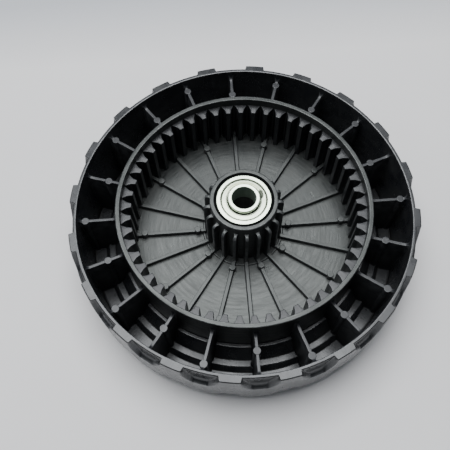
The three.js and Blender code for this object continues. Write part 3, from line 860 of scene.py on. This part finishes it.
def buildTeeth():
    # Tooth outline in plan: six corners a tooth, turned to each tooth and rounded, then carried up. The
    # middle corner of a flank lies at the mean of root and tip, less the flank's hollow. The top edge
    # is a quarter circle along the outline's own normals; its top runs out to the wall.
    toothPitch = 2 * np.pi / gear["teeth"]
    tipHalf = gear["tipWidth"] / 2 / gearTipRadius
    rootHalf = toothPitch / 2 - gear["rootGap"] / 2 / gearRootRadius
    middle = firstWeb + (np.arange(gear["teeth"])[:, None] + 0.5) * toothPitch
    halfReach = (gearRootRadius + gearTipRadius) / 2
    flankHalf = (rootHalf + tipHalf) / 2 - gear["flankHollow"] / halfReach
    turn = middle + np.array([-rootHalf, -flankHalf, -tipHalf, tipHalf, flankHalf, rootHalf])
    reach = np.array([gearRootRadius, halfReach, gearTipRadius, gearTipRadius, halfReach, gearRootRadius])
    half = [gear["rootRound"], gear["flankRound"], gear["tipRound"]]
    fillets = np.array(half + half[::-1]) + 0 * turn
    corners = np.stack([reach * np.cos(turn), reach * np.sin(turn), fillets], -1).reshape(-1, 3)
    outline = roundCorners(corners, steps=3, rest=0.12)
    plan = outline[:, :2]
    along = np.roll(plan, -1, axis=0) - np.roll(plan, 1, axis=0)
    normal = np.stack([along[:, 1], -along[:, 0]], -1)
    normal /= np.linalg.norm(normal, axis=1, keepdims=True)
    edge, top, low = gear["edge"], gear["toothTop"], disc["top"] - bury
    sweep = np.linspace(0, np.pi / 2, 5)
    insets = np.concatenate([[0, 0, 0], edge * (1 - np.cos(sweep))])
    levels = np.concatenate([[low, disc["top"] + 1, top - edge - 0.2], top - edge + edge * np.sin(sweep)])
    side = plan[None] + insets[:, None, None] * normal[None]
    side = np.concatenate([side, levels[:, None, None] + 0 * side[..., :1]], -1)
    wallRadius = gearRootRadius + gear["wall"] / 2
    wall = plan / np.linalg.norm(plan, axis=1, keepdims=True) * wallRadius
    outside = np.stack([np.concatenate([wall, top + 0 * wall[:, :1]], -1),
                        np.concatenate([wall, low + 0 * wall[:, :1]], -1)])
    points = np.concatenate([side, outside])[None]
    mask = np.zeros(points.shape[:3])
    mask[:, 4:7] = 1
    mask[:, :3] = np.clip(outline[:, 2], -1, 1) * 0.5
    return putMesh("ring_gear_teeth", points, mask, shadedWallPlastic, "wheel", wrapRows=True)


def barSection(half, top, floor, edge, flare, foot, draft, steps=4):
    # Section across a bar as (across, height) for arrays of stations: up out of the floor along a
    # quarter circle flare, up the drafted side, over the edge, across, and down the other side
    turn = np.linspace(0, np.pi / 2, steps + 1)
    wide = half + draft
    column = lambda value: np.asarray(value, float)[:, None]
    flareAcross = column(wide) + flare * (1 - np.sin(turn))
    flareHeight = column(floor) + flare * (1 - np.cos(turn))
    edgeAcross = column(half) - edge + edge * np.cos(turn)
    edgeHeight = column(top) - edge + edge * np.sin(turn)
    across = np.concatenate([column(wide) + flare, flareAcross, edgeAcross,
                             column(half) - edge - 0.1], axis=1)
    height = np.concatenate([column(foot), flareHeight, edgeHeight, column(top)], axis=1)
    marks = np.concatenate([[0], -np.ones(steps + 1), np.ones(steps + 1), [0]]) + 0 * across
    return (np.concatenate([across, -across[:, ::-1]], axis=1),
            np.concatenate([height, height[:, ::-1]], axis=1),
            np.concatenate([marks, marks[:, ::-1]], axis=1))


def cornerRise(distance, fillet):
    # How far a concave quarter circle stands off the face at a distance from its wall: fillet less
    # sqrt(fillet fillet - near near), with near = fillet - distance
    near = np.clip(fillet - distance, 0, fillet)
    return fillet - np.sqrt(fillet ** 2 - near ** 2)


def stationShares(inner, outer, fillet, middle=8, inWall=0.7):
    # Shares of the way from wall to wall: by 1 - cos t at the fillets, even between them, and one
    # inside each wall
    span = outer - inner
    near = fillet * (1 - np.cos(np.linspace(0, np.pi / 2, 6)))
    between = np.linspace(fillet, span - fillet, middle)[1:-1]
    return np.concatenate([[-inWall], near, between, span - near[::-1], [span + inWall]]) / span


web = {
    "thickness": 2.0,
    "draft": 0.35,               # extra half thickness at the floor
    "top": 44.6,
    "endFillet": 3.0,
    "cornerFillet": 1.0,
    "reachPast": 1.2,            # the rim wall stands this much further out at mid height
    "edge": 0.35,
    "flare": 0.8,
    "bossRadius": 2.42,
    "bossProud": 0.12,
    "bossEdge": 0.3,
    "bossFlare": 0.7,
    "innerCircle": 91.7,
    "outerCircle": 102.0,
}


def buildWebs():
    # A web runs from the gear wall to the drafted rim wall; its ends rise and thicken along fillets,
    # and its foot follows the stepped pocket floor
    inner, outer = gearWallRadius, rim["innerFoot"]
    longest = outer + web["reachPast"]
    shares = stationShares(inner, longest, web["endFillet"])
    mapped = inner + shares * (outer - inner)
    gap = np.minimum(shares, 1 - shares) * (longest - inner)
    top = web["top"] + cornerRise(gap, web["endFillet"])
    half = web["thickness"] / 2 + cornerRise(gap, web["cornerFillet"])
    stepRadii = [inner, inner + pocket["innerLedgeWidth"], pocket["ledgeFrom"], pocket["ledgeTo"],
                 pocket["floorFrom"]]
    stepHeights = [pocket[k] for k in ("innerLedge", "innerLedge", "ledge", "ledge", "floor")]
    floor = np.interp(mapped, stepRadii, stepHeights)
    across, height, mask = barSection(half, top, floor, web["edge"], web["flare"], floor - bury,
                                      web["draft"])
    rise = (height - pocket["floor"]) / (rim["width"] - pocket["floor"])
    wall = rim["innerFoot"] + (rim["innerTop"] - rim["innerFoot"]) * rise
    radius = inner + shares[:, None] * (wall - inner)
    points = np.stack([radius, across, height], -1)[None]
    points, mask = atWebs(points, mask[None])
    return putMesh("pocket_webs", points, mask, shadedWallPlastic, "wheel")


def buildWebBosses():
    # Round posts on the webs, near the gear wall on every other web and near the rim on the rest
    pieces = []
    high = web["top"] + web["bossProud"]
    for title, circle, low, which in (("inner", web["innerCircle"], pocket["ledge"], everyWeb[::2]),
                                      ("outer", web["outerCircle"], pocket["floor"], everyWeb[1::2])):
        points, mask = post(web["bossRadius"], low, high, web["bossEdge"], web["bossFlare"], circle)
        points, mask = atWebs(points, mask, which)
        pieces.append(putMesh("web_bosses_" + title, points, mask, shadedWallPlastic, "wheel"))
    return pieces


rib = {
    "thickness": 2.2,
    "height": 3.6,
    "draft": 0.15,
    "edge": 0.25,
    "flare": 0.4,
    "endFillet": 1.5,            # where the stations bunch at each end
    "cornerFillet": 0.8,
    "bossRadius": 2.1,
    "bossHeight": 5.4,
    "bossEdge": 0.3,
    "bossFlare": 0.6,
    "innerCircle": 30.9,
    "outerCircle": 67.1,
}


def buildRibs():
    # A bar of even height from hub to gear wall, half thickness + cornerRise at both ends
    inner, outer = hub["radius"], gearRootRadius
    shares = stationShares(inner, outer, rib["endFillet"], 14)
    radius = inner + shares * (outer - inner)
    gap = np.minimum(shares, 1 - shares) * (outer - inner)
    half = rib["thickness"] / 2 + cornerRise(gap, rib["cornerFillet"])
    top = disc["top"] + rib["height"] + 0 * radius
    floor = disc["top"] + 0 * radius
    across, height, mask = barSection(half, top, floor, rib["edge"], rib["flare"], floor - bury,
                                      rib["draft"])
    points = np.stack([radius[:, None] + 0 * across, across, height], -1)[None]
    points, mask = atWebs(points, mask[None])
    return putMesh("disc_ribs", points, mask, litRibPlastic, "wheel")


def buildRibBosses():
    # Round posts on every other rib, near the hub and near the gear
    pieces = []
    low, high = disc["top"], disc["top"] + rib["bossHeight"]
    for title, circle in (("inner", rib["innerCircle"]), ("outer", rib["outerCircle"])):
        points, mask = post(rib["bossRadius"], low, high, rib["bossEdge"], rib["bossFlare"], circle)
        points, mask = atWebs(points, mask, everyWeb[1::2])
        pieces.append(putMesh("rib_bosses_" + title, points, mask, litRibPlastic, "wheel"))
    return pieces


def buildFins():
    # Stations climb the fin's outer edge, round its shoulder and run in over its top. At each, the
    # section goes from inside the hub tube out to that edge and back, with a flare at the tube.
    reach, low, top = hub["radius"] + hub["finReach"], disc["top"], hubTop - hub["finDrop"]
    shoulder, edge, flare = hub["finShoulder"], hub["finEdge"], hub["finFlare"]
    turn = np.linspace(0, np.pi / 2, 7)
    pathRadius = np.concatenate([np.full(6, reach), reach - shoulder + shoulder * np.cos(turn),
                                 [hub["radius"] - bury / 2]])
    climb = np.concatenate([[-bury], flare * (1 - np.cos(np.linspace(0, np.pi / 2, 4))), [8.0]])
    pathHeight = np.concatenate([low + climb, top - shoulder + shoulder * np.sin(turn), [top]])
    pivotHeight = np.minimum(pathHeight, top - shoulder - 0.2) + 0.02 * np.arange(len(pathHeight))
    pivotRadius = hub["radius"] - hub["finRoot"] + 0 * pathRadius
    length = np.hypot(pathRadius - pivotRadius, pathHeight - pivotHeight)
    sweep = np.linspace(0, np.pi / 2, 5)
    edgeShare = 1 - (edge - edge * np.sin(sweep)) / length[:, None]
    flareSpots = (hub["finRoot"] + flare * np.array([0, 0.08, 0.3, 0.6, 1.0])) / length[:, None]
    share = np.concatenate([0 * length[:, None], flareSpots, edgeShare], axis=1)
    radius = pivotRadius[:, None] + share * (pathRadius - pivotRadius)[:, None]
    height = pivotHeight[:, None] + share * (pathHeight - pivotHeight)[:, None]
    half = hub["finThickness"] / 2 + cornerRise(radius - hub["radius"], flare)
    half = np.maximum(half, hub["finThickness"] / 2 + cornerRise(height - low, flare))
    half[:, -5:] -= edge - edge * np.cos(sweep)
    mark = np.concatenate([[0], -np.ones(5), np.ones(5)]) + 0 * half
    points = np.stack([np.concatenate([radius, radius[:, ::-1]], 1),
                       np.concatenate([half, -half[:, ::-1]], 1),
                       np.concatenate([height, height[:, ::-1]], 1)], -1)[None]
    points, mask = atWebs(points, np.concatenate([mark, mark[:, ::-1]], 1)[None])
    return putMesh("hub_fins", points, mask, litRibPlastic, "wheel")


wheelPieces = [buildRim(), buildDisc(), buildTeeth(), buildWebs(), *buildWebBosses(), buildRibs(),
               *buildRibBosses(), buildFins()]
for piece in wheelPieces:
    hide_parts("wheel_body")
print("wheel body:", len(wheelPieces), "pieces")


bearing = {
    "bore": 7.5,
    "outside": 17.5,
    "halfWidth": 5.5,
    "innerRace": 10.0,
    "proud": 2.4,
    "land": 14.4,
    "seat": 14.75,
    "shieldEdge": 14.6,
    "shieldLip": 10.3,
    "shieldInset": 0.35,
    "shieldPlay": 0.15,
    "shieldStep": (0.8, 0.42),   # the step's foot, in from the edge and down from the rim
    "shieldDome": (1.0, 0.36),   # the middle, out from the lip and down from the rim
    "sheet": 0.6,
    "ballPitch": 12.6,
    "ballRadius": 2.9765,
    "ballGap": 0.25,
    "balls": 8,
    "cageInner": 11.5,
    "cageOuter": 13.7,
    "cageGap": 0.32,
    "cageSplit": 0.2,
    "cageEdge": 0.08,
    "cageStations": 320,
    "columns": 144,
}


def grooveCorners(landRadius):
    # The ball groove as an arc about the ball's middle, from land to land: ball circle + R cos t,
    # R sin t, with R the ball's radius and a gap
    reach = bearing["ballRadius"] + bearing["ballGap"]
    side = np.sign(landRadius - bearing["ballPitch"])
    widest = np.arccos(abs(landRadius - bearing["ballPitch"]) / reach)
    turn = np.linspace(-widest, widest, 14)
    return np.stack([bearing["ballPitch"] + side * reach * np.cos(turn), reach * np.sin(turn),
                     0 * turn], -1)


def placeTurned(name, body, outline, material, middle, upright):
    # A section drawn about the bearing's middle plane, its extended end towards +Z, turned upright or
    # upside down about that plane and moved to its height
    outline = np.array(outline)
    outline[:, 1] = middle + (outline[:, 1] if upright else -outline[:, 1])
    points, mask = turned(outline, bearing["columns"])
    piece = putMesh(name, points, mask, material, body, wrapRows=True)
    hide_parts(name.replace("_visual", ""))
    return piece


def outerRaceOutline():
    # Corners (radius, height, fillet) round the outside and the shield seats, then the ball groove
    half, land, seat = bearing["halfWidth"], bearing["land"], bearing["seat"]
    back = half - bearing["shieldInset"] - bearing["sheet"] - bearing["shieldPlay"]
    outside = roundCorners([
        (land, -back, 0.1), (seat, -back, 0.1), (seat, -half, 0.25), (bearing["outside"], -half, 0.6),
        (bearing["outside"], half, 0.6), (seat, half, 0.25), (seat, back, 0.1), (land, back, 0.1)])
    return np.concatenate([outside, grooveCorners(land)[::-1]])


def innerRaceOutline():
    # Corners (radius, height, fillet) down the bore and round both ends, then the ball groove
    half, radius, bore = bearing["halfWidth"], bearing["innerRace"], bearing["bore"]
    end = half + bearing["proud"]
    outside = roundCorners([(radius, end, 0.45), (bore, end, 0.5), (bore, -half, 0.4), (radius, -half, 0.3)])
    return np.concatenate([outside, grooveCorners(radius)])


def shieldOutline():
    # Pressed sheet: flat rim, a step down, a slightly domed middle and a turned-in lip
    top = bearing["halfWidth"] - bearing["shieldInset"]
    low = top - bearing["sheet"]
    edge, lip = bearing["shieldEdge"], bearing["shieldLip"]
    stepIn, stepDown = bearing["shieldStep"]
    domeOut, domeDown = bearing["shieldDome"]
    return roundCorners([
        (lip, low, 0.1), (edge, low, 0.1), (edge, top - 0.05, 0.12), (edge - 0.25, top - 0.02, 0.12),
        (edge - stepIn, top - stepDown, 0.2), (lip + domeOut, top - domeDown, 0.2),
        (lip + 0.6, top - 0.2, 0.15), (lip, top - 0.3, 0.1)], rest=0.05)


def cageHalf(name, body, middle, upright):
    # Section corners (radius, height) follow the arch over each ball: height = sqrt(R R - s s), never
    # under the flat between two balls
    pocketRadius = bearing["ballRadius"] + bearing["cageGap"]
    angle = 2 * np.pi * np.arange(bearing["cageStations"]) / bearing["cageStations"]
    step = 2 * np.pi / bearing["balls"]
    aside = ((angle + step / 2) % step - step / 2) * bearing["ballPitch"]
    arch = lambda reach, floor: np.maximum(floor, np.sqrt(np.clip(reach ** 2 - aside ** 2, 0, None)))
    low = arch(pocketRadius, bearing["cageSplit"])
    high = arch(pocketRadius + bearing["sheet"], bearing["cageSplit"] + bearing["sheet"])
    inner, outer, edge = bearing["cageInner"], bearing["cageOuter"], bearing["cageEdge"]
    radius = np.array([inner, inner + edge, outer - edge, outer, outer, outer - edge, inner + edge, inner])
    lift = np.array([edge, 0, 0, edge, -edge, 0, 0, -edge])
    height = np.where(np.arange(8)[:, None] < 4, low[None], high[None]) + lift[:, None]
    height = middle + (height if upright else -height)
    points = np.stack([radius[:, None] * np.cos(angle), radius[:, None] * np.sin(angle), height], -1)[None]
    mask = np.zeros(points.shape[:3])
    piece = putMesh(name + "_visual", points, mask, cageSteel, body, wrapRows=True)
    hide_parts(name)
    return piece


def buildBalls(prefix, body, middle):
    # Each ball: rows are circles of latitude, radius sin t and height cos t, closed by a cap at each pole
    latitude = np.linspace(0, np.pi, 26)[1:-1]
    radius = bearing["ballRadius"]
    outline = np.stack([radius * np.sin(latitude), middle + radius * np.cos(latitude), 0 * latitude], -1)
    sphere, mask = turned(outline, 36)
    for i in range(bearing["balls"]):
        angle = 2 * np.pi * i / bearing["balls"]
        shift = bearing["ballPitch"] * np.array([np.cos(angle), np.sin(angle), 0])
        name = f"{prefix}_ball_{i + 1}"
        piece = putMesh(name + "_visual", sphere + shift, mask, ballSteel, body,
                        crisp=None)
        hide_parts(name)


def buildBearing(prefix, upright):
    # One bearing about the middle of its outer race's box. Upright, its extended end is at the top.
    ballBody = prefix + "_ball_set"
    low, high = boxInMillimetres(prefix + "_outer_race")
    middle = (low[2] + high[2]) / 2
    facing = markedShieldSteel if upright else shieldSteel
    for title, body, slotName, outline, material, way in (
            ("_outer_race", "wheel", "race_steel", outerRaceOutline(), raceSteel, upright),
            ("_inner_race", "axle_side", "race_steel", innerRaceOutline(), raceSteel, upright),
            ("_outward_shield", "wheel", "shield_steel", shieldOutline(), facing, upright),
            ("_inward_shield", "wheel", "shield_steel", shieldOutline(), shieldSteel, not upright)):
        placeTurned(prefix + title + "_visual", body, outline, material, middle, way)
    cageHalf(prefix + "_cage_outward_half", ballBody, middle, upright)
    cageHalf(prefix + "_cage_inward_half", ballBody, middle, not upright)
    buildBalls(prefix, ballBody, middle)
    print("bearing:", prefix)


spacer = {"outside": 10.0, "bore": 7.7, "chamfer": 0.5}


def buildSpacer():
    # A tube between the inner races: a rectangle with rounded corners, turned about the axis
    low, high = boxInMillimetres("bearing_spacer")
    chamfer = spacer["chamfer"]
    corners = [("bore", low), ("outside", low), ("outside", high), ("bore", high)]
    outline = roundCorners([(spacer[side], end[2], chamfer) for side, end in corners])
    points, mask = turned(outline, bearing["columns"])
    piece = putMesh("bearing_spacer_visual", points, mask, spacerSteel, "axle_side",
                    wrapRows=True)
    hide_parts("bearing_spacer")


buildBearing("gear_side", True)
buildBearing("outer_side", False)
buildSpacer()


studio = {
    "floorHalf": 6.0,            # metres, as are all lengths here
    "floorColour": (0.79, 0.795, 0.81, 1),
    "floorShade": 0.97,
    "floorCloud": 9.0,
    "floorRoughness": 0.75,
    "farShadeColour": (0.5, 0.525, 0.565, 1),
    "farFrom": 0.165,            # along +Y, where painted shade starts to darken the floor
    "farTo": 0.235,
    "skyTop": (0.80, 0.83, 0.87, 1),
    "skyLow": (0.035, 0.036, 0.04, 1),
    "skyStrength": 0.6,
    "skyTowards": (-0.08, 0.42, 0.9),
    "skyWindow": (0.1, 0.95),    # cosines that give skyLow and skyTop
    "panelPower": 26.0,
    "panelSize": (1.1, 0.9),
    "panelPlace": (-0.1, 0.25, 1.35),
    "fillPower": 2.0,
    "fillSize": 0.9,
    "fillPlace": (-1.2, 0.35, 0.9),
    "aim": (0, 0, 0.03),         # where both lamps point
}


def buildFloor():
    # A flat sheet under the wheel, clouded a little by noise, with painted shade darkening it from farFrom
    # to farTo along +Y
    half = studio["floorHalf"]
    mesh = bpy.data.meshes.new("floor")
    mesh.from_pydata([(-half, -half, 0), (half, -half, 0), (half, half, 0), (-half, half, 0)], [],
                     [(0, 1, 2, 3)])
    material, tree, shader, place = newMaterial("floorPaper")
    cloud = remap(tree, noise(tree, place, studio["floorCloud"]), 0.3, 0.7)
    clouded = tuple(studio["floorShade"] * c for c in studio["floorColour"][:3]) + (1,)
    colour = mixColour(tree, cloud, studio["floorColour"], clouded)
    y = addNode(tree, "ShaderNodeSeparateXYZ", {"Vector": place}).outputs["Y"]
    far = remap(tree, y, studio["farFrom"], studio["farTo"])
    tree.links.new(mixColour(tree, far, colour, studio["farShadeColour"]), shader.inputs["Base Color"])
    shader.inputs["Roughness"].default_value = studio["floorRoughness"]
    mesh.materials.append(material)
    floor = bpy.data.objects.new("floor", mesh)
    bpy.context.scene.collection.objects.link(floor)


def buildSky():
    # Soft room light: the colour goes with the cosine between a direction and the brightest one
    world = bpy.data.worlds.new("studio")
    bpy.context.scene.world = world
    world.use_nodes = True
    tree = world.node_tree
    tree.nodes.clear()
    place = tree.nodes.new("ShaderNodeTexCoord").outputs["Generated"]
    cosine = addNode(tree, "ShaderNodeVectorMath", {0: place, 1: studio["skyTowards"]},
                     operation="DOT_PRODUCT").outputs["Value"]
    colour = mixColour(tree, remap(tree, cosine, *studio["skyWindow"]), studio["skyLow"],
                       studio["skyTop"])
    background = addNode(tree, "ShaderNodeBackground",
                         {"Color": colour, "Strength": studio["skyStrength"]})
    output = tree.nodes.new("ShaderNodeOutputWorld")
    tree.links.new(background.outputs[0], output.inputs[0])


def addPanel(name, place, size, power):
    # A rectangular lamp whose -Z axis points from its place to the aim
    light = bpy.data.lights.new(name, "AREA")
    light.shape = "RECTANGLE"
    light.size, light.size_y = size
    light.energy = power
    lamp = bpy.data.objects.new(name, light)
    aim = Vector(studio["aim"]) - Vector(place)
    lamp.matrix_world = Matrix.Translation(place) @ aim.to_track_quat("-Z", "Y").to_matrix().to_4x4()
    bpy.context.scene.collection.objects.link(lamp)


cameraView = {
    "focalLength": 48.306,
    "sensorWidth": 36.0,
    "clipStart": 0.01,           # metres
    "elevation": 65.0,
    "roll": -1.63,
    "azimuth": -2.72,            # turn of the camera about Z from looking along +Y
    "distance": 372.671,
    "target": (-13.003, -15.134, 56.0),
}


def buildCamera():
    # The camera stands back from its target along the line of sight, then rolls about it
    elevation, azimuth, roll = (np.radians(cameraView[k]) for k in ("elevation", "azimuth", "roll"))
    back = Vector((np.sin(azimuth) * np.cos(elevation), -np.cos(azimuth) * np.cos(elevation),
                   np.sin(elevation)))
    right = Vector((np.cos(azimuth), np.sin(azimuth), 0))
    up = back.cross(right)
    turnedRight = right * np.cos(roll) + up * np.sin(roll)
    turnedUp = up * np.cos(roll) - right * np.sin(roll)
    place = Vector(cameraView["target"]) * mm + back * cameraView["distance"] * mm
    data = bpy.data.cameras.new("camera")
    data.lens = cameraView["focalLength"]
    data.sensor_width = cameraView["sensorWidth"]
    data.clip_start = cameraView["clipStart"]
    camera = bpy.data.objects.new("camera", data)
    axes = Matrix((turnedRight, turnedUp, back)).transposed().to_4x4()
    camera.matrix_world = Matrix.Translation(place) @ axes
    bpy.context.scene.collection.objects.link(camera)
    bpy.context.scene.camera = camera


buildFloor()
buildSky()
addPanel("overheadPanel", studio["panelPlace"], studio["panelSize"], studio["panelPower"])
addPanel("sideFill", studio["fillPlace"], (studio["fillSize"], studio["fillSize"]), studio["fillPower"])
buildCamera()
print("studio ready")
